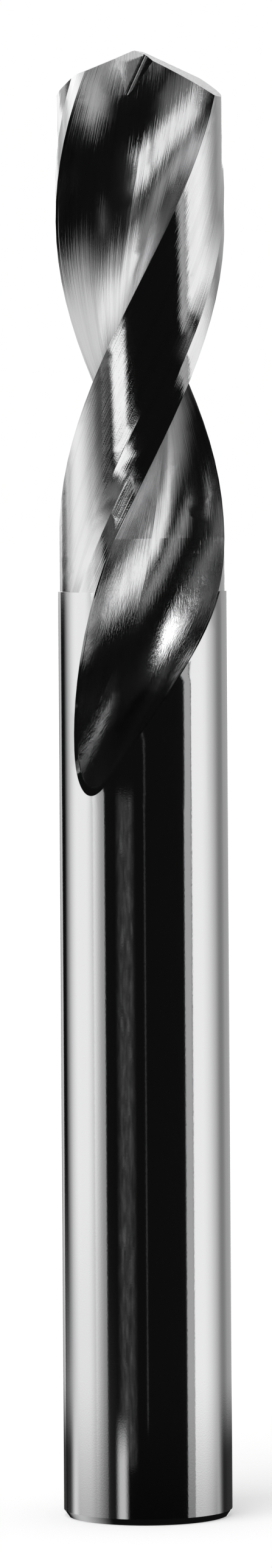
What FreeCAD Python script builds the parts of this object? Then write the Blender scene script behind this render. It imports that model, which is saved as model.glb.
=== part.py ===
"""Two-flute solid carbide drill bit, standing on its shank end with the point up.

Lengths are in millimetres and angles in degrees. The origin is the centre of the
shank's end face, +Z runs along the drill's axis towards the point, and the viewer of
the front stands on the -Y side. The drill cuts to the right: its helix climbs
anticlockwise when it is seen from above the point.
"""
import FreeCAD, Part
import math
import os

import Sketcher
from FreeCAD import Placement, Rotation, Vector

# Driving dimensions: alias and value.
DRIVING_SIZES = (
    # Whole drill. The fluted body widens a little from the shank to the point, so that
    # the drill doesn't rub in its hole, and that starts just below the flutes.
    ("overall_length", 88.5),
    ("shank_diameter", 10.2),
    ("back_taper", 0.02),
    ("taper_lead", 0.7),
    ("shank_chamfer_width", 0.27),
    ("shank_chamfer_length", 0.4),
    # Flutes, measured from the point or across the section at the lips
    ("flute_length", 45.3),
    ("runout_length", 15.85),
    ("helix_lead", 63.5),
    ("web_thickness", 2.9),
    ("hook_radius", 14.3),
    ("root_radius", 4.5),
    ("flute_opening", 113.0),
    ("heel_creep", 0.21),
    ("runout_lift", 3.85),
    ("runout_lift_turn", 55.3),
    ("runout_lag", 23.4),
    ("runout_closing", 9.0),
    ("runout_ease", 0.4),
    # Lands
    ("relief_length", 32.65),
    ("relief_depth", 0.12),
    ("margin_turn", 11.3),
    ("margin_blend_turn", 12.7),
    # Point
    ("point_angle", 140.0),
    ("lip_azimuth", 214.2),
    ("primary_width", 0.7),
    ("primary_clearance", 8.0),
    ("secondary_clearance", 23.3),
    # Web thinning
    ("gash_tilt", 39.35),
    ("gash_turn", 22.5),
    ("gash_opening", 72.0),
    ("gash_offset", 0.3),
    ("gash_drop", 0.55),
    ("gash_root_radius", 0.15),
    ("gash_reach", 2.2),
)

# Sections of the run-out, which stand closer together near the helical part, and the
# powers by which they lag behind the helix and their two corners close.
RUNOUT_STEPS = 8
RUNOUT_SPACING = 1.3
LAG_POWER = 4
CLOSING_POWER = 1.5

# The flute's section stands this much outside the drill's diameter at its two corners,
# and its outer corners this many times further out.
CORNER_FACTOR = 1.02
OUTER_FACTOR = 2.3
# Height of the cutting tools' space above the point.
HEADROOM = 4.0
# Half the side of the squares that trim the point's facets, and how far they cut.
FACET_SPAN = 9.0
FACET_DEPTH = 9.0
# Height of the gash's section above its root, in reaches.
GASH_HEIGHT_FACTOR = 2.0
# Outer corners of the land relief's section, in cutting radii, and how far its blend
# into the margin runs on outside the drill, as a share of the blend.
RELIEF_OUTER_FACTOR = 1.8
BLEND_EXTENSION = 0.15

LAND_COUNT = 2
FULL_TURN = 360.0

# Formulas shared by several features
SHANK_R = "(Sizes.shank_diameter / 2)"
CUT_R = "((Sizes.shank_diameter + Sizes.back_taper) / 2)"
HALF_WEB = "(Sizes.web_thickness / 2)"
LIP_SLOPE = "(1 / tan(Sizes.point_angle / 2 * 1 deg))"
PRIMARY_SLOPE = "tan(Sizes.primary_clearance * 1 deg)"
SECONDARY_SLOPE = "tan(Sizes.secondary_clearance * 1 deg)"
LIP_SPAN = f"sqrt({CUT_R} ^ 2 - {HALF_WEB} ^ 2)"
SECONDARY_STEP = f"(Sizes.primary_width * ({SECONDARY_SLOPE} - {PRIMARY_SLOPE}))"
LIP_TOP = (f"(Sizes.overall_length + {HALF_WEB} * {SECONDARY_SLOPE}"
           f" - {SECONDARY_STEP})")
CORNER_HEIGHT = f"({LIP_TOP} - {LIP_SPAN} * {LIP_SLOPE})"
FLUTE_END = "(Sizes.overall_length - Sizes.flute_length)"
TAPER_START = f"({FLUTE_END} - Sizes.taper_lead)"
HELIX_START = f"({FLUTE_END} + Sizes.runout_length)"
RELIEF_START = "(Sizes.overall_length - Sizes.relief_length)"

doc = FreeCAD.newDocument("CarbideDrillBit")


def make_sheet():
    """Put the driving dimensions in a sheet, one row for each."""
    sheet = doc.addObject("Spreadsheet::Sheet", "Sizes")
    for row, (alias, value) in enumerate(DRIVING_SIZES, start=1):
        sheet.set(f"A{row}", alias)
        sheet.set(f"B{row}", str(value))
        sheet.setAlias(f"B{row}", alias)
    doc.recompute()
    return sheet


sheet = make_sheet()


def value_of(formula):
    """Work out a formula of the driving dimensions."""
    result = sheet.evalExpression(formula)
    return float(getattr(result, "Value", result))


def turn_at(height):
    """Angle of the flute's section at a height: the helix passes the lips' corners."""
    return (f"(Sizes.lip_azimuth + ({height} - {CORNER_HEIGHT})"
            f" * {FULL_TURN} / Sizes.helix_lead)")


def origin_feature(body, role):
    """Find one of the body's own origin planes or axes."""
    for feature in body.Origin.OriginFeatures:
        if feature.Role == role:
            return feature
    raise ValueError(role)


def new_sketch(body, name, role="XY_Plane"):
    """Start a sketch on one of the body's origin planes."""
    sketch = body.newObject("Sketcher::SketchObject", name)
    sketch.AttachmentSupport = [(origin_feature(body, role), "")]
    sketch.MapMode = "FlatFace"
    return sketch


def bind(feature, prop, formula):
    """Tie a property to a formula of the driving dimensions."""
    feature.setExpression(prop, formula)


def pin(sketch, geometry, position, x_formula, y_formula, name):
    """Hold a point of the sketch at a place worked out from the driving dimensions."""
    for kind, axis, formula in (("DistanceX", "x", x_formula), ("DistanceY", "y", y_formula)):
        constraint = Sketcher.Constraint(kind, -1, 1, geometry, position, value_of(formula))
        index = sketch.addConstraint(constraint)
        sketch.renameConstraint(index, f"{name}_{axis}")
        bind(sketch, f"Constraints.{name}_{axis}", formula)


def hold_radius(sketch, geometry, formula, name):
    """Hold an arc's radius."""
    constraint = Sketcher.Constraint("Radius", geometry, value_of(formula))
    index = sketch.addConstraint(constraint)
    sketch.renameConstraint(index, name)
    bind(sketch, f"Constraints.{name}", formula)


def add_polygon(sketch, corners, name):
    """Draw a closed polygon with every corner pinned."""
    points = [Vector(value_of(x), value_of(y), 0) for x, y in corners]
    count = len(points)
    for index in range(count):
        line = Part.LineSegment(points[index], points[(index + 1) % count])
        sketch.addGeometry(line, False)
    for index in range(count):
        following = (index + 1) % count
        sketch.addConstraint(Sketcher.Constraint("Coincident", index, 2, following, 1))
    for index, (x, y) in enumerate(corners):
        pin(sketch, index, 1, x, y, f"{name}{index + 1}")


def repeat_around(body, name, feature):
    """Copy a feature evenly around the drill's axis, once for each land."""
    pattern = body.newObject("PartDesign::PolarPattern", name)
    pattern.Originals = [feature]
    pattern.Axis = (origin_feature(body, "Z_Axis"), [""])
    pattern.Angle = FULL_TURN
    pattern.Occurrences = LAND_COUNT
    body.Tip = pattern
    doc.recompute()
    return pattern


def make_blank(body):
    """Turn the ground blank: chamfered end, plain shank and tapered body."""
    sketch = new_sketch(body, "BlankOutline", "XZ_Plane")
    corners = (
        ("0", "0"),
        (f"{SHANK_R} - Sizes.shank_chamfer_width", "0"),
        (SHANK_R, "Sizes.shank_chamfer_length"),
        (SHANK_R, TAPER_START),
        (CUT_R, "Sizes.overall_length"),
        ("0", "Sizes.overall_length"),
    )
    add_polygon(sketch, corners, "corner")
    doc.recompute()
    blank = body.newObject("PartDesign::Revolution", "Blank")
    blank.Profile = sketch
    blank.ReferenceAxis = (sketch, ["V_Axis"])
    blank.Angle = FULL_TURN
    doc.recompute()
    return blank


def make_spine(name, start, end, lead):
    """Draw the helix that a section follows."""
    spine = doc.addObject("Part::Helix", name)
    bind(spine, "Pitch", lead)
    bind(spine, "Height", f"{end} - {start}")
    bind(spine, "Radius", CUT_R)
    bind(spine, "Placement.Base.z", start)
    doc.recompute()
    return spine


def place_section(sketch, height, turn, shift=None):
    """Set a section square to the axis at a height, turned and moved sideways."""
    sketch.AttachmentOffset = Placement(Vector(0, 0, 1), Rotation(Vector(0, 0, 1), 1))
    bind(sketch, "AttachmentOffset.Base.z", height)
    bind(sketch, "AttachmentOffset.Rotation.Angle", turn)
    if shift is not None:
        bind(sketch, "AttachmentOffset.Base.x", shift[0])
        bind(sketch, "AttachmentOffset.Base.y", shift[1])


def polar(radius, angle):
    """Give the two formulas of a point at a radius and an angle."""
    return f"({radius}) * cos({angle})", f"({radius}) * sin({angle})"


def make_land_reliefs(body):
    """Clear each land behind its margin, which stays at the full diameter."""
    sketch = new_sketch(body, "ReliefSection")
    edge = f"(asin({HALF_WEB} / {CUT_R}))"
    margin = f"({edge} - Sizes.margin_turn * 1 deg)"
    shoulder = f"({margin} - Sizes.margin_blend_turn * 1 deg)"
    past_heel = f"({edge} - (180 - Sizes.flute_opening / 2) * 1 deg)"
    relief_r = f"({CUT_R} - Sizes.relief_depth)"
    outer_r = f"({CUT_R} * {RELIEF_OUTER_FACTOR})"

    blend_end = polar(relief_r, shoulder)
    margin_end = polar(CUT_R, margin)
    entry = tuple(f"({outer} + ({outer} - {inner}) * {BLEND_EXTENSION})"
                  for outer, inner in zip(margin_end, blend_end))
    front_outer = polar(outer_r, margin)
    back_outer = polar(outer_r, past_heel)
    back_end = polar(relief_r, past_heel)

    def at(point):
        return Vector(value_of(point[0]), value_of(point[1]), 0)

    floor = Part.Circle(Vector(0, 0, 0), Vector(0, 0, 1), value_of(relief_r))
    start = math.radians(value_of(past_heel))
    end = math.radians(value_of(shoulder))
    sketch.addGeometry(Part.ArcOfCircle(floor, start, end), False)
    sketch.addGeometry(Part.LineSegment(at(blend_end), at(entry)), False)
    sketch.addGeometry(Part.LineSegment(at(entry), at(front_outer)), False)
    sketch.addGeometry(Part.LineSegment(at(front_outer), at(back_outer)), False)
    sketch.addGeometry(Part.LineSegment(at(back_outer), at(back_end)), False)
    sketch.addConstraint(Sketcher.Constraint("Coincident", 0, 3, -1, 1))
    sketch.addConstraint(Sketcher.Constraint("Coincident", 0, 2, 1, 1))
    sketch.addConstraint(Sketcher.Constraint("Coincident", 1, 2, 2, 1))
    sketch.addConstraint(Sketcher.Constraint("Coincident", 2, 2, 3, 1))
    sketch.addConstraint(Sketcher.Constraint("Coincident", 3, 2, 4, 1))
    sketch.addConstraint(Sketcher.Constraint("Coincident", 4, 2, 0, 1))
    pin(sketch, 1, 1, blend_end[0], blend_end[1], "blend_end")
    pin(sketch, 2, 1, entry[0], entry[1], "entry")
    pin(sketch, 3, 1, front_outer[0], front_outer[1], "front_outer")
    pin(sketch, 4, 1, back_outer[0], back_outer[1], "back_outer")
    index = sketch.addConstraint(
        Sketcher.Constraint("DistanceX", -1, 1, 4, 2, value_of(back_end[0])))
    sketch.renameConstraint(index, "back_end_x")
    bind(sketch, "Constraints.back_end_x", back_end[0])
    place_section(sketch, RELIEF_START, turn_at(RELIEF_START))
    doc.recompute()

    top = f"(Sizes.overall_length + {HEADROOM})"
    spine = make_spine("ReliefHelix", RELIEF_START, top, "Sizes.helix_lead")
    relief = body.newObject("PartDesign::SubtractivePipe", "LandRelief")
    relief.Profile = sketch
    relief.Spine = (spine, ["Edge1"])
    relief.Mode = "Frenet"
    doc.recompute()
    return repeat_around(body, "LandReliefs", relief)


def flute_opening_at(height):
    """Angle between a flute's two corners, which closes a little towards the shank."""
    return f"Sizes.flute_opening - Sizes.heel_creep * ({CORNER_HEIGHT} - {height})"


def draw_flute_section(sketch, opening):
    """Draw the flute across the axis: hooked rake face, and round root up to the heel.

    The x axis of the sketch is parallel to the lip and the flute lies on its +y side.
    """
    corner_r = f"({CUT_R} * {CORNER_FACTOR})"
    rake_x = f"sqrt({corner_r} ^ 2 - {HALF_WEB} ^ 2)"
    rake_y = HALF_WEB
    heel_turn = f"(asin({HALF_WEB} / {CUT_R}) + ({opening}) * 1 deg)"
    heel_x = f"{corner_r} * cos({heel_turn})"
    heel_y = f"{corner_r} * sin({heel_turn})"
    root_reach = f"({HALF_WEB} + Sizes.root_radius)"
    spread = (f"(({corner_r} ^ 2 + {root_reach} ^ 2 - Sizes.root_radius ^ 2)"
              f" / (2 * {corner_r} * {root_reach}))")
    root_turn = f"({heel_turn} - acos({spread}))"
    root_x = f"{root_reach} * cos({root_turn})"
    root_y = f"{root_reach} * sin({root_turn})"

    rake = Vector(value_of(rake_x), value_of(rake_y), 0)
    heel = Vector(value_of(heel_x), value_of(heel_y), 0)
    root = Vector(value_of(root_x), value_of(root_y), 0)
    hook_r = value_of("Sizes.hook_radius")
    root_r = value_of("Sizes.root_radius")

    # The hook's centre lies at its radius from the corner and touches the root inside.
    span = rake.sub(root)
    reach = hook_r - root_r
    along = (reach ** 2 - hook_r ** 2 + span.Length ** 2) / (2 * span.Length)
    aside = math.sqrt(reach ** 2 - along ** 2)
    direction = Vector(span).normalize()
    normal = Vector(-direction.y, direction.x, 0)
    hook = root + direction * along + normal * aside
    rake_end = root + (root.sub(hook)).normalize() * root_r

    def angle_from(centre, point):
        offset = point.sub(centre)
        return math.atan2(offset.y, offset.x)

    up = Vector(0, 0, 1)
    hook_arc = Part.ArcOfCircle(
        Part.Circle(hook, up, hook_r), angle_from(hook, rake_end), angle_from(hook, rake))
    root_arc = Part.ArcOfCircle(
        Part.Circle(root, up, root_r),
        angle_from(root, heel),
        angle_from(root, rake_end))
    sketch.addGeometry(hook_arc, False)
    sketch.addGeometry(root_arc, False)
    sketch.addGeometry(Part.LineSegment(heel, heel * OUTER_FACTOR), False)
    sketch.addGeometry(Part.LineSegment(heel * OUTER_FACTOR, rake * OUTER_FACTOR), False)
    sketch.addGeometry(Part.LineSegment(rake * OUTER_FACTOR, rake), False)

    sketch.addConstraint(Sketcher.Constraint("Tangent", 0, 1, 1, 2))
    sketch.addConstraint(Sketcher.Constraint("Coincident", 1, 1, 2, 1))
    sketch.addConstraint(Sketcher.Constraint("Coincident", 2, 2, 3, 1))
    sketch.addConstraint(Sketcher.Constraint("Coincident", 3, 2, 4, 1))
    sketch.addConstraint(Sketcher.Constraint("Coincident", 4, 2, 0, 2))
    pin(sketch, 4, 2, rake_x, rake_y, "rake")
    pin(sketch, 2, 1, heel_x, heel_y, "heel")
    pin(sketch, 4, 1, f"{rake_x} * {OUTER_FACTOR}", f"{rake_y} * {OUTER_FACTOR}", "rake_outer")
    pin(sketch, 3, 1, f"{heel_x} * {OUTER_FACTOR}", f"{heel_y} * {OUTER_FACTOR}", "heel_outer")
    pin(sketch, 1, 3, root_x, root_y, "root")
    hold_radius(sketch, 0, "Sizes.hook_radius", "hook_radius")


def sweep_sections(body, name, sketches, spine):
    """Cut along a helix, through all the sections in turn."""
    cut = body.newObject("PartDesign::SubtractivePipe", name)
    cut.Profile = sketches[0]
    cut.Sections = [(sketch, [""]) for sketch in sketches[1:]]
    cut.Spine = (spine, ["Edge1"])
    cut.Mode = "Frenet"
    cut.Transformation = "Multisection"
    doc.recompute()
    return repeat_around(body, f"{name}s", cut)


def make_flutes(body):
    """Grind the flutes: a constant helix, and a run-out that lifts out of the blank."""
    top = f"(Sizes.overall_length + {HEADROOM})"
    runout_sections = []
    for number in range(RUNOUT_STEPS, -1, -1):
        share = (number / RUNOUT_STEPS) ** RUNOUT_SPACING
        height = f"({HELIX_START} - Sizes.runout_length * {share})"
        easing = f"((1 + Sizes.runout_ease) / ({share} + Sizes.runout_ease))"
        lift = f"(Sizes.runout_lift * {share ** 2} * {easing})"
        lag = f"(Sizes.runout_lag * {share ** LAG_POWER})"
        turn = f"({turn_at(height)} + {lag})"
        aim = f"({turn} + Sizes.runout_lift_turn) * 1 deg"
        shift = (f"{lift} * cos({aim})", f"{lift} * sin({aim})")
        sketch = new_sketch(body, f"RunoutSection{number}")
        closing = f"Sizes.runout_closing * {share ** CLOSING_POWER}"
        draw_flute_section(sketch, f"{flute_opening_at(HELIX_START)} - {closing}")
        place_section(sketch, height, turn, shift)
        doc.recompute()
        runout_sections.append(sketch)
    spine = make_spine("RunoutHelix", FLUTE_END, HELIX_START, "Sizes.helix_lead")
    sweep_sections(body, "Runout", runout_sections, spine)

    flute_sections = []
    for number, height in enumerate((HELIX_START, top), start=1):
        sketch = new_sketch(body, f"FluteSection{number}")
        draw_flute_section(sketch, flute_opening_at(height))
        place_section(sketch, height, turn_at(height))
        doc.recompute()
        flute_sections.append(sketch)
    spine = make_spine("FluteHelix", HELIX_START, top, "Sizes.helix_lead")
    return sweep_sections(body, "Flute", flute_sections, spine)


def make_facets(body, name, slope, offset, drop):
    """Grind one flat of the point's flank behind each lip."""
    sketch = new_sketch(body, f"{name}Outline")
    span = str(FACET_SPAN)
    corners = ((f"-{span}", f"-{span}"), (span, f"-{span}"), (span, span), (f"-{span}", span))
    add_polygon(sketch, corners, "corner")
    lip = "Sizes.lip_azimuth * 1 deg"
    tilt = f"atan(sqrt({LIP_SLOPE} ^ 2 + {slope} ^ 2))"
    sketch.AttachmentOffset = Placement(Vector(0, 0, 1), Rotation(Vector(1, 0, 0), 10))
    bind(sketch, "AttachmentOffset.Base.x", f"-({offset}) * sin({lip})")
    bind(sketch, "AttachmentOffset.Base.y", f"({offset}) * cos({lip})")
    bind(sketch, "AttachmentOffset.Base.z", f"{LIP_TOP} - {drop}")
    bind(sketch, "AttachmentOffset.Rotation.Axis.x",
         f"{slope} * cos({lip}) - {LIP_SLOPE} * sin({lip})")
    bind(sketch, "AttachmentOffset.Rotation.Axis.y",
         f"{slope} * sin({lip}) + {LIP_SLOPE} * cos({lip})")
    bind(sketch, "AttachmentOffset.Rotation.Angle", tilt)
    doc.recompute()
    before = body.Shape.Volume
    facet = body.newObject("PartDesign::Pocket", name)
    facet.Profile = sketch
    facet.Length = FACET_DEPTH
    facet.Reversed = True
    doc.recompute()
    pattern = repeat_around(body, f"{name}s", facet)
    if pattern.Shape.Volume >= before:
        raise ValueError(f"{name} cuts nothing")
    return pattern


def make_gashes(body):
    """Thin the web at the point with a notch in front of each lip's inner end.

    The notch runs down and outwards into the flute. Its upright wall carries on the lip
    towards the centre, and its other wall leans back into the opposite land.
    """
    sketch = new_sketch(body, "GashSection")
    reach = "Sizes.gash_reach"
    lean = "((90 - Sizes.gash_opening) * 1 deg)"
    half = "(Sizes.gash_opening / 2 * 1 deg)"
    middle = "((90 - Sizes.gash_opening / 2) * 1 deg)"
    root_reach = f"(Sizes.gash_root_radius / tan({half}))"
    root_out = f"(Sizes.gash_root_radius / sin({half}))"

    upright_foot = ("0", root_reach)
    top = f"{reach} * {GASH_HEIGHT_FACTOR}"
    upright_top = ("0", top)
    back_top = (reach, top)
    back_foot = (reach, f"{reach} * tan({lean})")
    lean_foot = (f"{root_reach} * cos({lean})", f"{root_reach} * sin({lean})")
    root = (f"{root_out} * cos({middle})", f"{root_out} * sin({middle})")

    def at(point):
        return Vector(value_of(point[0]), value_of(point[1]), 0)

    def angle_to(point):
        offset = at(point).sub(at(root))
        return math.atan2(offset.y, offset.x)

    round_root = Part.Circle(at(root), Vector(0, 0, 1), value_of("Sizes.gash_root_radius"))
    sketch.addGeometry(
        Part.ArcOfCircle(round_root, angle_to(upright_foot), angle_to(lean_foot)), False)
    chain = (lean_foot, back_foot, back_top, upright_top, upright_foot)
    for first, second in zip(chain, chain[1:]):
        sketch.addGeometry(Part.LineSegment(at(first), at(second)), False)
    last = len(chain) - 1
    sketch.addConstraint(Sketcher.Constraint("Tangent", 0, 2, 1, 1))
    for index in range(1, last):
        sketch.addConstraint(Sketcher.Constraint("Coincident", index, 2, index + 1, 1))
    sketch.addConstraint(Sketcher.Constraint("Tangent", last, 2, 0, 1))
    pin(sketch, 2, 1, back_foot[0], back_foot[1], "back_foot")
    pin(sketch, 3, 1, back_top[0], back_top[1], "back_top")
    pin(sketch, 4, 1, upright_top[0], upright_top[1], "upright_top")
    pin(sketch, 0, 3, root[0], root[1], "root")
    hold_radius(sketch, 0, "Sizes.gash_root_radius", "root_radius")

    across = "((Sizes.lip_azimuth + Sizes.gash_turn + 90) * 1 deg)"
    bind(sketch, "AttachmentOffset",
         f"placement(vector(Sizes.gash_offset * cos({across});"
         f" Sizes.gash_offset * sin({across});"
         f" Sizes.overall_length - Sizes.gash_drop);"
         f" rotationz({across}) * rotationx((180 - Sizes.gash_tilt) * 1 deg))")
    doc.recompute()
    before = body.Shape.Volume
    gash = body.newObject("PartDesign::Pocket", "Gash")
    gash.Profile = sketch
    gash.SideType = "Symmetric"
    bind(gash, "Length", f"{CUT_R} * 2")
    doc.recompute()
    pattern = repeat_around(body, "Gashes", gash)
    if pattern.Shape.Volume >= before:
        raise ValueError("the gashes cut nothing")
    return pattern


def check_document():
    """Stop if anything in the document failed."""
    for item in doc.Objects:
        states = set(item.State)
        if "Invalid" in states or "Error" in states:
            raise ValueError(f"{item.Name} failed: {item.State}")


def main():
    """Build the drill bit and write it out."""
    body = doc.addObject("PartDesign::Body", "DrillBit")
    body.Label = "drill_bit"
    make_blank(body)
    make_land_reliefs(body)
    make_flutes(body)
    make_facets(body, "PrimaryFacet", PRIMARY_SLOPE, HALF_WEB, "0")
    make_facets(body, "SecondaryFacet", SECONDARY_SLOPE,
                f"{HALF_WEB} - Sizes.primary_width",
                f"Sizes.primary_width * {PRIMARY_SLOPE}")
    make_gashes(body)
    check_document()
    shape = body.Shape
    if shape.isNull() or not shape.isValid():
        raise ValueError("the drill bit is not a valid solid")
    os.makedirs("parts", exist_ok=True)
    shape.exportStep(os.path.join("parts", f"{body.Label}.step"))
    print(body.Label, "solids", len(shape.Solids), "faces", len(shape.Faces),
          "volume", round(shape.Volume, 1), "box", shape.BoundBox)


main()
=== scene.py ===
"""Solid carbide twist drill standing on its shank end: its ground finish, a small studio and the camera.

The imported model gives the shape. All lengths are in metres and all places are in the model's own frame:
origin at the centre of the shank's end, +Z up to the point, -Y towards the viewer, +X to the right.
"""

import math
from typing import NamedTuple

import bpy
from bpy.props import FloatProperty, FloatVectorProperty, PointerProperty
from mathutils import Matrix, Vector


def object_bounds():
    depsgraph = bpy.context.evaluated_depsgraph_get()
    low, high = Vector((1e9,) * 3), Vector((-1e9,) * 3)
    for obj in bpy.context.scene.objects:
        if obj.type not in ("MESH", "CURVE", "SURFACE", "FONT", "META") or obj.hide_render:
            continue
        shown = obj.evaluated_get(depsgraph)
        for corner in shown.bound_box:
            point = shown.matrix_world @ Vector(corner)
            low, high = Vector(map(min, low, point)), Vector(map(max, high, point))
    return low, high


bl_info = {
    "name": "Carbide Drill Bit Studio",
    "version": (1, 0, 0),
    "blender": (4, 5, 0),
    "location": "View3D > Sidebar > Drill Bit",
    "description": "Gives the packed drill its ground carbide finish and builds its studio and camera",
    "category": "Object",
}

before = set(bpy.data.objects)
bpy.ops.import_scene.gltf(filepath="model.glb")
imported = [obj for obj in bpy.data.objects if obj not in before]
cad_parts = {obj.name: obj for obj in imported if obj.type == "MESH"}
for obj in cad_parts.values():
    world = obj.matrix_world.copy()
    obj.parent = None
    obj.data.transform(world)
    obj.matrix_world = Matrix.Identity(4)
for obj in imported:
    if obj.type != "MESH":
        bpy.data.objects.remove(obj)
CAD_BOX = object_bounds()
LOW, HIGH = CAD_BOX

DRILL_NODE = "drill_bit"

MM = 0.001
MICRON = 1e-6

# Radii of the shank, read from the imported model, and of the relieved lands
SHANK_RADIUS = (HIGH.x - LOW.x) / 2
RELIEF_DEPTH = 0.12 * MM
LAND_RADIUS = SHANK_RADIUS - RELIEF_DEPTH

# Relief of the ground faces
LINE_LENGTH = 9 * MM
STREAK_FREQUENCY = 0.22  # of the broad streaks, where that of the fine lines is 1
STREAK_RELIEF = 0.7      # height of the streaks, where that of the lines is 1
BODY_RELIEF = 0.4        # height on the lands and the point, where that in the flutes is 1
GRAIN_SIZE = 0.09 * MM
GRAIN_RELIEF = 0.1
RELIEF_FACTOR = 6        # full swing of the noise over the depth of a usual line

# Tone and roughness of the ground faces
STREAK_TONE = 0.86
STREAK_RANGE = (0.3, 0.55)
POLISH = 0.06            # roughness of the shank and the lands
FLUTE_ROUGHNESS = 0.06   # added in the flutes
RUNOUT_ROUGHNESS = 0.01  # added again in their run-out
RUNOUT_FADE = (68 * MM, 56 * MM)

# Where the flutes' walls, the run-out and the step below the lands give way to the next face
WALL_FADE = (0.02 * MM, 0.07 * MM)
START_FADE = 0.5 * MM
STEP_FADE = 0.05 * MM

# Sockets of a Mix node for colours
MIX_SHARE, MIX_FIRST, MIX_SECOND, MIX_RESULT = 0, 6, 7, 2

# Studio
FLOOR_ROUGHNESS = 0.9
FLOOR_GLOW = 0.32
LAMP_SPREAD = math.radians(50)
LAMP_TURN = (math.radians(30), math.radians(-25), 0)
CLOTH_LEVEL = 0.007
TENT_RADIUS = 1.7
TENT_OPENING = 8.0       # degrees on each side of straight behind the drill
TENT_COLUMNS = 68
TENT_ROWS = 24
CARD_CENTRE = Vector((0, 0, 45 * MM))
CARD_DISTANCE = 0.9
SCREEN_COLUMNS = 16

# Mottled screens: size and stretch of the spots, and the levels between and in them
SPECKLE_SCALE = 4000.0
SPECKLE_STRETCH = (0.12, 0.12, 1.0)
SPECKLE_RANGE = (0.45, 0.7)
SPECKLE_BASE = 0.3
SPECKLE_GAIN = 3.0

# Camera of the photograph, in its pixels: frame height, focal length, pixels for each metre at the
# drill, height of the horizon, centre of the frame, and the places of the drill's axis and base
PHOTO_HEIGHT = 2576
PHOTO_FOCAL = 12600.0
PHOTO_SCALE = 27157.0
PHOTO_HORIZON = 710.0
PHOTO_CENTRE = (223.5, 1288.0)
PHOTO_AXIS = 232.2
PHOTO_BASE = 2487.8
PHOTO_ROLL = math.radians(0.373)
SENSOR = 36.0


class Card(NamedTuple):
    """Flat card that faces the drill. Its angles are in degrees and seen from the drill."""

    name: str
    azimuth: float
    elevation: float
    width: float
    height: float
    level: tuple  # brightness at the left and right sides
    soft: tuple   # share of the card that fades at its left, right, bottom and top


class Screen(NamedTuple):
    """Screen or flag bent round the drill's axis, with its radius in millimetres.

    Each row gives a height in millimetres and the azimuths of the two ends in degrees.
    """

    name: str
    rows: tuple
    level: tuple
    soft: tuple
    radius: float = 100
    shade: float = 0.0  # share of the light behind it that it holds back
    mottled: bool = False


CARDS = (
    Card("left_box", -98, -1, 82, 30, (1.35, 1.35), (0.45, 0.4, 0.3, 0.1)),
    Card("left_lower", -103, -36, 106, 56, (1.0, 1.0), (0.4, 0.5, 0.5, 0.12)),
    Card("left_inner", -65, -4, 20, 20, (0.35, 0.5), (0.1, 0.1, 0.4, 0.15)),
    Card("left_low", -50, -20, 34, 26, (0.14, 0.03), (0.1, 0.6, 0.4, 0.4)),
    Card("right_box", 102.5, -8, 70, 44, (1.38, 1.38), (0.04, 0.75, 0.4, 0.25)),
    Card("right_inner", 62, -8, 12, 32, (0.57, 0.57), (0.1, 0.1, 0.4, 0.08)),
    Card("right_low", 76, -30, 76, 20, (0.7, 0.6), (0.25, 0.6, 0.4, 0.5)),
    Card("right_high", 108, 21, 64, 40, (0.4, 0.4), (0.4, 0.3, 0.15, 0.8)),
    Card("right_back", 150, -2, 60, 30, (0.45, 0.5), (0.4, 0.1, 0.3, 0.2)),
    Card("left_back", -162, -2, 24, 30, (0.3, 0.8), (0.4, 0.1, 0.3, 0.2)),
    Card("left_high", -150, 4, 56, 10, (0.6, 0.6), (0.1, 0.1, 0.25, 0.2)),
    Card("left_fade", -65, 5.5, 44, 9.4, (0.5, 0.12), (0.3, 0.05, 0.06, 0.1)),
    Card("heel_line", 47, 20, 24, 26, (0.45, 0.45), (0.7, 0.15, 0.2, 0.2)),
    Card("overhead", 0, 90, 56, 56, (0.6, 0.6), (0.3, 0.3, 0.3, 0.3)),
)
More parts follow.
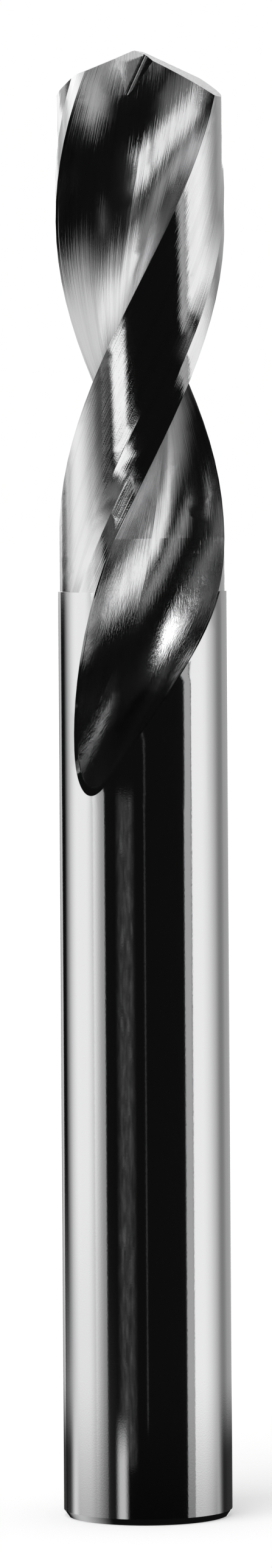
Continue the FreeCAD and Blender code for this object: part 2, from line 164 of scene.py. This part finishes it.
SCREENS = (
    Screen(
        "front_low", ((80.0, -37, -2), (83, -43, -3), (90, -50, -3.5)),
        (1.35, 1.45), (0.25, 0.08, 0.12, 0.15), radius=32,
    ),
    Screen(
        "front_high", ((96, -44, -6), (104, -50, -11), (116, -56, -16), (128.6, -72, -26), (142, -85, -34)),
        (1.25, 1.35), (0.2, 0.08, 0.08, 0.1), radius=60,
    ),
    Screen(
        "front_flag", ((73, -48, 6), (79.8, -48, 6)),
        (CLOTH_LEVEL, CLOTH_LEVEL), (0.1, 0.1, 0.15, 0.05), radius=32, shade=1.0,
    ),
    Screen(
        "front_skirt", ((79, -120, -40), (110, -120, -60)),
        (0.2, 0.5), (0.3, 0.3, 0.15, 0.1), radius=32,
    ),
    Screen(
        "right_skirt", ((90, -12, 34), (114, -34, 22)),
        (0.32, 0.05), (0.25, 0.4, 0.4, 0.1), radius=32,
    ),
    Screen(
        "left_shade", ((56, -94, -52), (92, -94, -52)),
        (0.0, 0.0), (0.9, 0.02, 0.3, 0.1), radius=31, shade=0.85,
    ),
    Screen(
        "front_strip", ((62.4, -39.3, -18.9), (66.1, -40.8, -18.9), (74.5, -46.4, -19.7)),
        (1.5, 1.5), (0.25, 0.1, 0.05, 0.1),
    ),
    Screen(
        "front_foot", ((62.4, -20.5, -4.4), (65, -20.5, -4.4)),
        (1.4, 1.1), (0.06, 0.4, 0.15, 0.25),
    ),
    Screen(
        "gash_glint", ((152, 18, 42), (167, 18, 42)),
        (0.5, 0.5), (0.2, 0.2, 0.2, 0.2),
    ),
    Screen(
        "mottled_high", ((56.6, -49.9, -28.7), (61.4, -48.4, -28.7)),
        (0.12, 0.12), (0.1, 0.1, 0.1, 0.1), radius=59, mottled=True,
    ),
    Screen(
        "low_flag", ((46, -52, -6), (61.8, -52, -6)),
        (CLOTH_LEVEL, CLOTH_LEVEL), (0.1, 0.1, 0.1, 0.05), radius=60, shade=1.0,
    ),
    Screen(
        "mottled_low", ((-0.4, -37.8, -10.6), (42.8, -37.8, -10.6)),
        (0.06, 0.06), (0.35, 0.35, 0.02, 0.02), radius=32, mottled=True,
    ),
    Screen(
        "thin_line", ((2, -0.5, 1.5), (57, -0.5, 1.5)),
        (0.05, 0.05), (0.3, 0.3, 0.02, 0.02), radius=32,
    ),
    Screen(
        "low_patch", ((-8, -42, -23), (3.4, -42, -23)),
        (0.7, 0.9), (0.4, 0.4, 0.1, 0.3), radius=32,
    ),
    Screen(
        "low_shade_right", ((-18.2, 109, 178), (-3.4, 109, 178)),
        (0.0, 0.0), (0.25, 0.05, 0.1, 0.4), shade=0.9,
    ),
    Screen(
        "low_shade_left", ((-18.2, -178, -116), (-3.4, -178, -116)),
        (0.0, 0.0), (0.05, 0.25, 0.1, 0.4), shade=0.9,
    ),
    Screen(
        "low_shade_front", ((-18.2, -116, 116), (-2.2, -116, 116)),
        (0.0, 0.0), (0.05, 0.05, 0.1, 0.9), radius=99, shade=0.5,
    ),
)


# Properties


class DrillFinishSettings(bpy.types.PropertyGroup):
    """Sizes and colour of the ground finish."""

    carbide_color: FloatVectorProperty(
        name="Carbide Colour", description="Colour of clean ground carbide",
        subtype="COLOR", size=3, min=0.0, max=1.0, default=(0.58, 0.58, 0.585),
    )
    helix_lead: FloatProperty(
        name="Helix Lead", description="Height in which a flute makes one full turn",
        default=63.5 * MM, unit="LENGTH",
    )
    flute_start: FloatProperty(
        name="Flute Start", description="Height at which the run-out of the flutes begins",
        default=43.2 * MM, unit="LENGTH",
    )
    land_start: FloatProperty(
        name="Land Start", description="Height of the step between the shank and the relieved lands",
        default=55.85 * MM, unit="LENGTH",
    )
    line_spacing: FloatProperty(
        name="Line Spacing", description="Usual distance between grinding lines in the flutes",
        default=0.09 * MM, unit="LENGTH",
    )
    line_depth: FloatProperty(
        name="Line Depth", description="Depth of the grinding lines in the flutes",
        default=1.8 * MICRON, unit="LENGTH", precision=6,
    )


class DrillStudioSettings(bpy.types.PropertyGroup):
    """Floor, and the levels of the wall, the lamp and the dark cloth."""

    floor_color: FloatVectorProperty(
        name="Floor Colour", description="Colour of the pale floor",
        subtype="COLOR", size=3, min=0.0, max=1.0, default=(0.86, 0.86, 0.86),
    )
    floor_size: FloatProperty(
        name="Floor Size", description="Side of the square floor",
        default=8.0, unit="LENGTH",
    )
    fill_level: FloatProperty(
        name="Fill Level", description="Brightness of the even light from all round",
        default=0.55, min=0.0,
    )
    lamp_level: FloatProperty(
        name="Lamp Level", description="Strength of the soft lamp",
        default=1.2, min=0.0,
    )
    tent_level: FloatProperty(
        name="Tent Level", description="Brightness of the dark cloth between the cards",
        default=CLOTH_LEVEL, min=0.0,
    )


# Node helpers


def node(tree, kind, label="", **values):
    """Adds a node and sets its plain properties."""
    made = tree.nodes.new(kind)
    if label:
        made.label = label
    for name, value in values.items():
        setattr(made, name, value)
    return made


def feed(tree, source, target):
    """Links a socket, or sets a plain value."""
    if isinstance(source, bpy.types.NodeSocket):
        tree.links.new(source, target)
    else:
        target.default_value = source


def math_node(tree, operation, *inputs):
    """Math node; returns its result socket."""
    made = node(tree, "ShaderNodeMath", operation=operation)
    for socket, value in zip(made.inputs, inputs):
        feed(tree, value, socket)
    return made.outputs[0]


def smooth_step(tree, value, start, end):
    """0 before start, 1 after end, with a soft change between them."""
    made = node(tree, "ShaderNodeMapRange", interpolation_type="SMOOTHSTEP")
    feed(tree, value, made.inputs["Value"])
    feed(tree, start, made.inputs["From Min"])
    feed(tree, end, made.inputs["From Max"])
    return made.outputs["Result"]


def combine(tree, x, y, z):
    """Vector from three values."""
    made = node(tree, "ShaderNodeCombineXYZ")
    for socket, value in zip(made.inputs, (x, y, z)):
        feed(tree, value, socket)
    return made.outputs[0]


def noise(tree, vector, scale, detail=2.0, roughness=0.5):
    """Noise value at a vector."""
    made = node(tree, "ShaderNodeTexNoise")
    feed(tree, vector, made.inputs["Vector"])
    feed(tree, scale, made.inputs["Scale"])
    made.inputs["Detail"].default_value = detail
    made.inputs["Roughness"].default_value = roughness
    return made.outputs["Fac"]


def object_place(tree):
    """Object coordinates."""
    return node(tree, "ShaderNodeTexCoord").outputs["Object"]


def object_axes(tree):
    """Object coordinates split into x, y and z."""
    split = node(tree, "ShaderNodeSeparateXYZ")
    tree.links.new(object_place(tree), split.inputs[0])
    return split.outputs


def new_group(name, inputs, outputs):
    """Shader node group with float inputs (name, default) and float outputs (name)."""
    tree = bpy.data.node_groups.new(name, "ShaderNodeTree")
    for label, default in inputs:
        socket = tree.interface.new_socket(label, in_out="INPUT", socket_type="NodeSocketFloat")
        socket.default_value = default
    for label in outputs:
        tree.interface.new_socket(label, in_out="OUTPUT", socket_type="NodeSocketFloat")
    return tree, tree.nodes.new("NodeGroupInput"), tree.nodes.new("NodeGroupOutput")


def use_group(tree, name, label, **values):
    """Places a node group with its own values."""
    made = node(tree, "ShaderNodeGroup", label, node_tree=bpy.data.node_groups[name])
    for socket, value in values.items():
        feed(tree, value, made.inputs[socket])
    return made


def shaded_material(name):
    """Material with its node tree and its Principled shader."""
    material = bpy.data.materials.new(name)
    material.use_nodes = True
    return material, material.node_tree, material.node_tree.nodes["Principled BSDF"]


def glowing_material(name):
    """Material for a piece that only gives light, with its node tree and its surface socket."""
    material, tree, shader = shaded_material(name)
    material.cycles.emission_sampling = "NONE"
    tree.nodes.remove(shader)
    return material, tree, tree.nodes["Material Output"].inputs["Surface"]


# Shared effects


def grinding_lines_group():
    """Lines that follow the helix of the flutes, from a noise unwound by the lead and drawn out along it."""
    tree, source, sink = new_group(
        "grinding_lines",
        (("Lead", 0.06), ("Spacing", 0.0001), ("Length", 0.02)),
        ("Height", "Streaks"),
    )
    x, y, z = object_axes(tree)
    turn = math_node(tree, "MULTIPLY", math_node(tree, "DIVIDE", z, source.outputs["Lead"]), -math.tau)
    cosine = math_node(tree, "COSINE", turn)
    sine = math_node(tree, "SINE", turn)
    across = math_node(
        tree, "SUBTRACT", math_node(tree, "MULTIPLY", x, cosine), math_node(tree, "MULTIPLY", y, sine),
    )
    along = math_node(
        tree, "ADD", math_node(tree, "MULTIPLY", x, sine), math_node(tree, "MULTIPLY", y, cosine),
    )
    squeeze = math_node(tree, "DIVIDE", source.outputs["Spacing"], source.outputs["Length"])
    unwound = combine(tree, across, along, math_node(tree, "MULTIPLY", z, squeeze))
    frequency = math_node(tree, "DIVIDE", 1.0, source.outputs["Spacing"])
    fine = noise(tree, unwound, frequency, detail=3.0, roughness=0.6)
    broad = noise(tree, unwound, math_node(tree, "MULTIPLY", frequency, STREAK_FREQUENCY))
    tree.links.new(fine, sink.inputs["Height"])
    tree.links.new(broad, sink.inputs["Streaks"])


def grain_group():
    """Fine sintered grain."""
    tree, source, sink = new_group("carbide_grain", (("Size", 0.00005),), ("Height",))
    frequency = math_node(tree, "DIVIDE", 1.0, source.outputs["Size"])
    tree.links.new(noise(tree, object_place(tree), frequency), sink.inputs["Height"])


def soft_card_group():
    """Mask that fades out towards the four sides of a card, and the place across it."""
    tree, source, sink = new_group(
        "soft_card",
        (("Left", 0.1), ("Right", 0.1), ("Bottom", 0.1), ("Top", 0.1)),
        ("Mask", "Across"),
    )
    split = node(tree, "ShaderNodeSeparateXYZ")
    tree.links.new(node(tree, "ShaderNodeTexCoord").outputs["UV"], split.inputs[0])
    u, v = split.outputs[0], split.outputs[1]
    from_right, from_top = (math_node(tree, "SUBTRACT", 1.0, value) for value in (u, v))
    mask = 1.0
    for value, side in ((u, "Left"), (from_right, "Right"), (v, "Bottom"), (from_top, "Top")):
        mask = math_node(tree, "MULTIPLY", mask, smooth_step(tree, value, 0.0, source.outputs[side]))
    tree.links.new(mask, sink.inputs["Mask"])
    tree.links.new(u, sink.inputs["Across"])


# Ground carbide


def carbide_material(settings):
    """Ground tungsten carbide: fine lines along the helix in the flutes, a near mirror on the shank."""
    material, tree, shader = shaded_material("ground_carbide_finish")
    shader.inputs["Metallic"].default_value = 1.0

    lines = use_group(
        tree, "grinding_lines", "flute grinding lines",
        Lead=settings.helix_lead, Spacing=settings.line_spacing, Length=LINE_LENGTH,
    )
    grain = use_group(tree, "carbide_grain", "sintered grain", Size=GRAIN_SIZE)

    x, y, z = object_axes(tree)
    squares = math_node(tree, "ADD", math_node(tree, "MULTIPLY", x, x), math_node(tree, "MULTIPLY", y, y))
    radius = math_node(tree, "SQRT", squares)
    in_flutes = math_node(
        tree, "MULTIPLY",
        smooth_step(tree, radius, LAND_RADIUS - WALL_FADE[0], LAND_RADIUS - WALL_FADE[1]),
        smooth_step(tree, z, settings.flute_start - START_FADE, settings.flute_start + START_FADE),
    )
    on_body = smooth_step(tree, z, settings.land_start, settings.land_start + STEP_FADE)
    ground = math_node(tree, "MAXIMUM", in_flutes, math_node(tree, "MULTIPLY", on_body, BODY_RELIEF))

    relief = math_node(
        tree, "MULTIPLY_ADD", lines.outputs["Streaks"], STREAK_RELIEF, lines.outputs["Height"],
    )
    height = math_node(tree, "MULTIPLY", relief, ground)
    height = math_node(tree, "MULTIPLY_ADD", grain.outputs["Height"], GRAIN_RELIEF, height)
    bump = node(tree, "ShaderNodeBump", "grinding relief")
    bump.inputs["Strength"].default_value = 1.0
    bump.inputs["Distance"].default_value = settings.line_depth * RELIEF_FACTOR
    feed(tree, height, bump.inputs["Height"])
    tree.links.new(bump.outputs["Normal"], shader.inputs["Normal"])

    tone = node(tree, "ShaderNodeMix", "streaked tone", data_type="RGBA")
    shade = tuple(STREAK_TONE * channel for channel in settings.carbide_color)
    tone.inputs[MIX_FIRST].default_value = (*shade, 1.0)
    tone.inputs[MIX_SECOND].default_value = (*settings.carbide_color, 1.0)
    streaks = smooth_step(tree, lines.outputs["Streaks"], *STREAK_RANGE)
    clean = math_node(tree, "MAXIMUM", streaks, math_node(tree, "SUBTRACT", 1.0, ground))
    tree.links.new(clean, tone.inputs[MIX_SHARE])
    tree.links.new(tone.outputs[MIX_RESULT], shader.inputs["Base Color"])

    runout = math_node(tree, "MULTIPLY", in_flutes, smooth_step(tree, z, *RUNOUT_FADE))
    rough = math_node(tree, "MULTIPLY_ADD", in_flutes, FLUTE_ROUGHNESS, POLISH)
    rough = math_node(tree, "MULTIPLY_ADD", runout, RUNOUT_ROUGHNESS, rough)
    feed(tree, rough, shader.inputs["Roughness"])
    return material


# Studio


def towards(azimuth, elevation):
    """Unit vector from the drill, with azimuth from the viewer's side round to +X."""
    a, e = math.radians(azimuth), math.radians(elevation)
    return Vector((math.sin(a) * math.cos(e), -math.cos(a) * math.cos(e), math.sin(e)))


def mesh_object(name, points, faces, uvs=None):
    """Plain mesh object at the origin."""
    mesh = bpy.data.meshes.new(name)
    mesh.from_pydata(points, [], faces)
    if uvs:
        layer = mesh.uv_layers.new(name="UVMap")
        for loop, uv in zip(layer.data, uvs):
            loop.uv = uv
    made = bpy.data.objects.new(name, mesh)
    bpy.context.scene.collection.objects.link(made)
    return made


def grid_faces(columns, rows):
    """Faces of a grid whose points run along each row in turn."""
    wide = columns + 1
    corners = [row * wide + column for row in range(rows) for column in range(columns)]
    return [(corner, corner + 1, corner + wide + 1, corner + wide) for corner in corners]


def reflections_only(obj):
    """The drill's polish shows this piece, and nothing else does."""
    obj.visible_camera = False
    obj.visible_diffuse = False
    obj.visible_transmission = False
    obj.visible_volume_scatter = False
    obj.visible_shadow = False


def mottling(tree):
    """Brightness of a mottled screen from place to place, with spots drawn out round the drill."""
    drawn = node(tree, "ShaderNodeVectorMath", operation="MULTIPLY")
    tree.links.new(object_place(tree), drawn.inputs[0])
    drawn.inputs[1].default_value = SPECKLE_STRETCH
    grain = noise(tree, drawn.outputs[0], SPECKLE_SCALE, detail=3.0, roughness=0.7)
    spots = smooth_step(tree, grain, *SPECKLE_RANGE)
    return math_node(tree, "MULTIPLY_ADD", spots, SPECKLE_GAIN, SPECKLE_BASE)


def card_material(card, shade=0.0, mottled=False):
    """Light that adds to what stands behind it, so that soft edges blend, or cloth that darkens it."""
    material, tree, surface = glowing_material(f"{card.name}_light")
    left, right, bottom, top = card.soft
    edge = use_group(tree, "soft_card", card.name, Left=left, Right=right, Bottom=bottom, Top=top)
    start, end = card.level
    level = math_node(tree, "MULTIPLY_ADD", edge.outputs["Across"], end - start, start)
    if mottled:
        level = math_node(tree, "MULTIPLY", level, mottling(tree))
    glow = node(tree, "ShaderNodeEmission")
    feed(tree, math_node(tree, "MULTIPLY", edge.outputs["Mask"], level), glow.inputs["Strength"])
    clear = node(tree, "ShaderNodeBsdfTransparent")
    if shade:
        kept = math_node(tree, "MULTIPLY_ADD", edge.outputs["Mask"], -shade, 1.0)
        tree.links.new(combine(tree, kept, kept, kept), clear.inputs["Color"])
    both = node(tree, "ShaderNodeAddShader")
    tree.links.new(glow.outputs[0], both.inputs[0])
    tree.links.new(clear.outputs[0], both.inputs[1])
    tree.links.new(both.outputs[0], surface)
    return material


def build_card(card):
    """One flat card, turned to face the drill."""
    centre = CARD_CENTRE + towards(card.azimuth, card.elevation) * CARD_DISTANCE
    right = towards(card.azimuth + 90, 0)
    up = towards(card.azimuth, card.elevation + 90)
    half_width = CARD_DISTANCE * math.tan(math.radians(card.width / 2))
    half_height = CARD_DISTANCE * math.tan(math.radians(card.height / 2))
    corners = ((-1, -1), (1, -1), (1, 1), (-1, 1))
    points = [centre + right * (a * half_width) + up * (b * half_height) for a, b in corners]
    places = [((a + 1) / 2, (b + 1) / 2) for a, b in corners]
    made = mesh_object(card.name, points, [(0, 1, 2, 3)], places)
    made.data.materials.append(card_material(card))
    reflections_only(made)


def build_screen(screen):
    """One bent screen, from its rows of azimuths."""
    first, last = screen.rows[0][0], screen.rows[-1][0]
    points, places = [], []
    for height, left, right in screen.rows:
        for column in range(SCREEN_COLUMNS + 1):
            share = column / SCREEN_COLUMNS
            out = towards(left + (right - left) * share, 0)
            points.append(screen.radius * MM * out + Vector((0, 0, height * MM)))
            places.append((share, (height - first) / (last - first)))
    faces = grid_faces(SCREEN_COLUMNS, len(screen.rows) - 1)
    made = mesh_object(screen.name, points, faces, [places[index] for face in faces for index in face])
    made.data.materials.append(card_material(screen, screen.shade, screen.mottled))
    reflections_only(made)


def build_tent(settings):
    """Dark cloth round the cards, open at the back where the drill's edges show the white wall."""
    points = []
    for row in range(TENT_ROWS + 1):
        elevation = -90 + 180 * row / TENT_ROWS
        for column in range(TENT_COLUMNS + 1):
            azimuth = -180 + TENT_OPENING + (360 - 2 * TENT_OPENING) * column / TENT_COLUMNS
            points.append(CARD_CENTRE + TENT_RADIUS * towards(azimuth, elevation))
    inward_faces = [face[::-1] for face in grid_faces(TENT_COLUMNS, TENT_ROWS)]
    tent = mesh_object("tent", points, inward_faces)
    material, tree, surface = glowing_material("dark_cloth")
    cloth = node(tree, "ShaderNodeEmission")
    cloth.inputs["Strength"].default_value = settings.tent_level
    tree.links.new(cloth.outputs[0], surface)
    tent.data.materials.append(material)
    reflections_only(tent)


def background_rays(tree):
    """1 for rays that come from the camera, a reflection or a transparent body."""
    rays = node(tree, "ShaderNodeLightPath")
    seen = math_node(tree, "MAXIMUM", rays.outputs["Is Camera Ray"], rays.outputs["Is Glossy Ray"])
    return math_node(tree, "MAXIMUM", seen, rays.outputs["Is Transmission Ray"])


def build_floor(settings):
    """Pale floor that keeps the drill's shadow and meets the white wall without a seam."""
    half = settings.floor_size / 2
    corners = [(-half, -half, 0), (half, -half, 0), (half, half, 0), (-half, half, 0)]
    floor = mesh_object("floor", corners, [(0, 1, 2, 3)])
    material, tree, shader = shaded_material("pale_floor")
    shader.inputs["Base Color"].default_value = (*settings.floor_color, 1.0)
    shader.inputs["Roughness"].default_value = FLOOR_ROUGHNESS
    shader.inputs["Specular IOR Level"].default_value = 0.0
    shader.inputs["Emission Color"].default_value = (1, 1, 1, 1)
    glow = math_node(tree, "MULTIPLY", background_rays(tree), FLOOR_GLOW)
    feed(tree, glow, shader.inputs["Emission Strength"])
    floor.data.materials.append(material)
    floor.visible_glossy = False


def build_world(settings):
    """White behind the drill, and an even plain light for everything else."""
    world = bpy.data.worlds.new("white_wall")
    world.use_nodes = True
    tree = world.node_tree
    background = tree.nodes["Background"]
    background.inputs["Color"].default_value = (1, 1, 1, 1)
    level = math_node(
        tree, "MULTIPLY_ADD", background_rays(tree), 1.0 - settings.fill_level, settings.fill_level,
    )
    feed(tree, level, background.inputs["Strength"])
    bpy.context.scene.world = world


def build_lamp(settings):
    """Soft lamp from the upper left, on the viewer's side."""
    data = bpy.data.lights.new("soft_lamp", "SUN")
    data.angle = LAMP_SPREAD
    data.energy = settings.lamp_level
    lamp = bpy.data.objects.new("soft_lamp", data)
    lamp.visible_glossy = False
    lamp.rotation_euler = LAMP_TURN
    bpy.context.scene.collection.objects.link(lamp)


def build_camera():
    """Camera of the photograph: level, a little under three quarters of the way up the drill."""
    distance = PHOTO_FOCAL / PHOTO_SCALE
    data = bpy.data.cameras.new("photo_camera")
    data.sensor_fit = "VERTICAL"
    data.sensor_width = SENSOR
    data.sensor_height = SENSOR
    data.lens = SENSOR * PHOTO_FOCAL / PHOTO_HEIGHT
    data.shift_x = (PHOTO_CENTRE[0] - PHOTO_AXIS) / PHOTO_HEIGHT
    data.shift_y = (PHOTO_HORIZON - PHOTO_CENTRE[1]) / PHOTO_HEIGHT
    camera = bpy.data.objects.new("photo_camera", data)
    camera.location = (0, -distance, (PHOTO_BASE - PHOTO_HORIZON) / PHOTO_SCALE)
    camera.rotation_mode = "QUATERNION"
    level = Matrix.Rotation(math.radians(90), 3, "X")
    camera.rotation_quaternion = (level @ Matrix.Rotation(-PHOTO_ROLL, 3, "Z")).to_quaternion()
    bpy.context.scene.collection.objects.link(camera)
    bpy.context.scene.camera = camera


# Operators


class DRILL_OT_effects(bpy.types.Operator):
    """Build the shared grinding line, grain and card edge effects"""

    bl_idname = "drill.effects"
    bl_label = "Build Shared Effects"

    def execute(self, context):
        grinding_lines_group()
        grain_group()
        soft_card_group()
        return {"FINISHED"}


class DRILL_OT_finish(bpy.types.Operator):
    """Give the drill its ground carbide finish"""

    bl_idname = "drill.finish"
    bl_label = "Finish Drill"

    def execute(self, context):
        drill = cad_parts[DRILL_NODE]
        material = carbide_material(context.scene.drill_finish)
        for slot in drill.material_slots:
            slot.material = material
        return {"FINISHED"}


class DRILL_OT_studio(bpy.types.Operator):
    """Build the floor, wall, tent, cards, screens, lamp and camera"""

    bl_idname = "drill.studio"
    bl_label = "Build Studio"

    def execute(self, context):
        settings = context.scene.drill_studio
        context.scene.view_settings.view_transform = "Standard"
        build_world(settings)
        build_floor(settings)
        build_tent(settings)
        for card in CARDS:
            build_card(card)
        for screen in SCREENS:
            build_screen(screen)
        build_lamp(settings)
        build_camera()
        return {"FINISHED"}


class DRILL_PT_panel(bpy.types.Panel):
    """Sidebar panel with the build steps and their sizes"""

    bl_idname = "DRILL_PT_panel"
    bl_label = "Drill Bit"
    bl_space_type = "VIEW_3D"
    bl_region_type = "UI"
    bl_category = "Drill Bit"

    def draw(self, context):
        layout = self.layout
        for step in STEPS:
            layout.operator(step.bl_idname)
        for group in (context.scene.drill_finish, context.scene.drill_studio):
            column = layout.column(align=True)
            for name in group.__annotations__:
                column.prop(group, name)


STEPS = (DRILL_OT_effects, DRILL_OT_finish, DRILL_OT_studio)
CLASSES = (DrillFinishSettings, DrillStudioSettings, *STEPS, DRILL_PT_panel)


def register():
    for cls in CLASSES:
        bpy.utils.register_class(cls)
    bpy.types.Scene.drill_finish = PointerProperty(type=DrillFinishSettings)
    bpy.types.Scene.drill_studio = PointerProperty(type=DrillStudioSettings)


def unregister():
    del bpy.types.Scene.drill_studio
    del bpy.types.Scene.drill_finish
    for cls in reversed(CLASSES):
        bpy.utils.unregister_class(cls)


def main():
    register()
    bpy.ops.drill.effects()
    bpy.ops.drill.finish()
    bpy.ops.drill.studio()


if __name__ == "__main__":
    main()
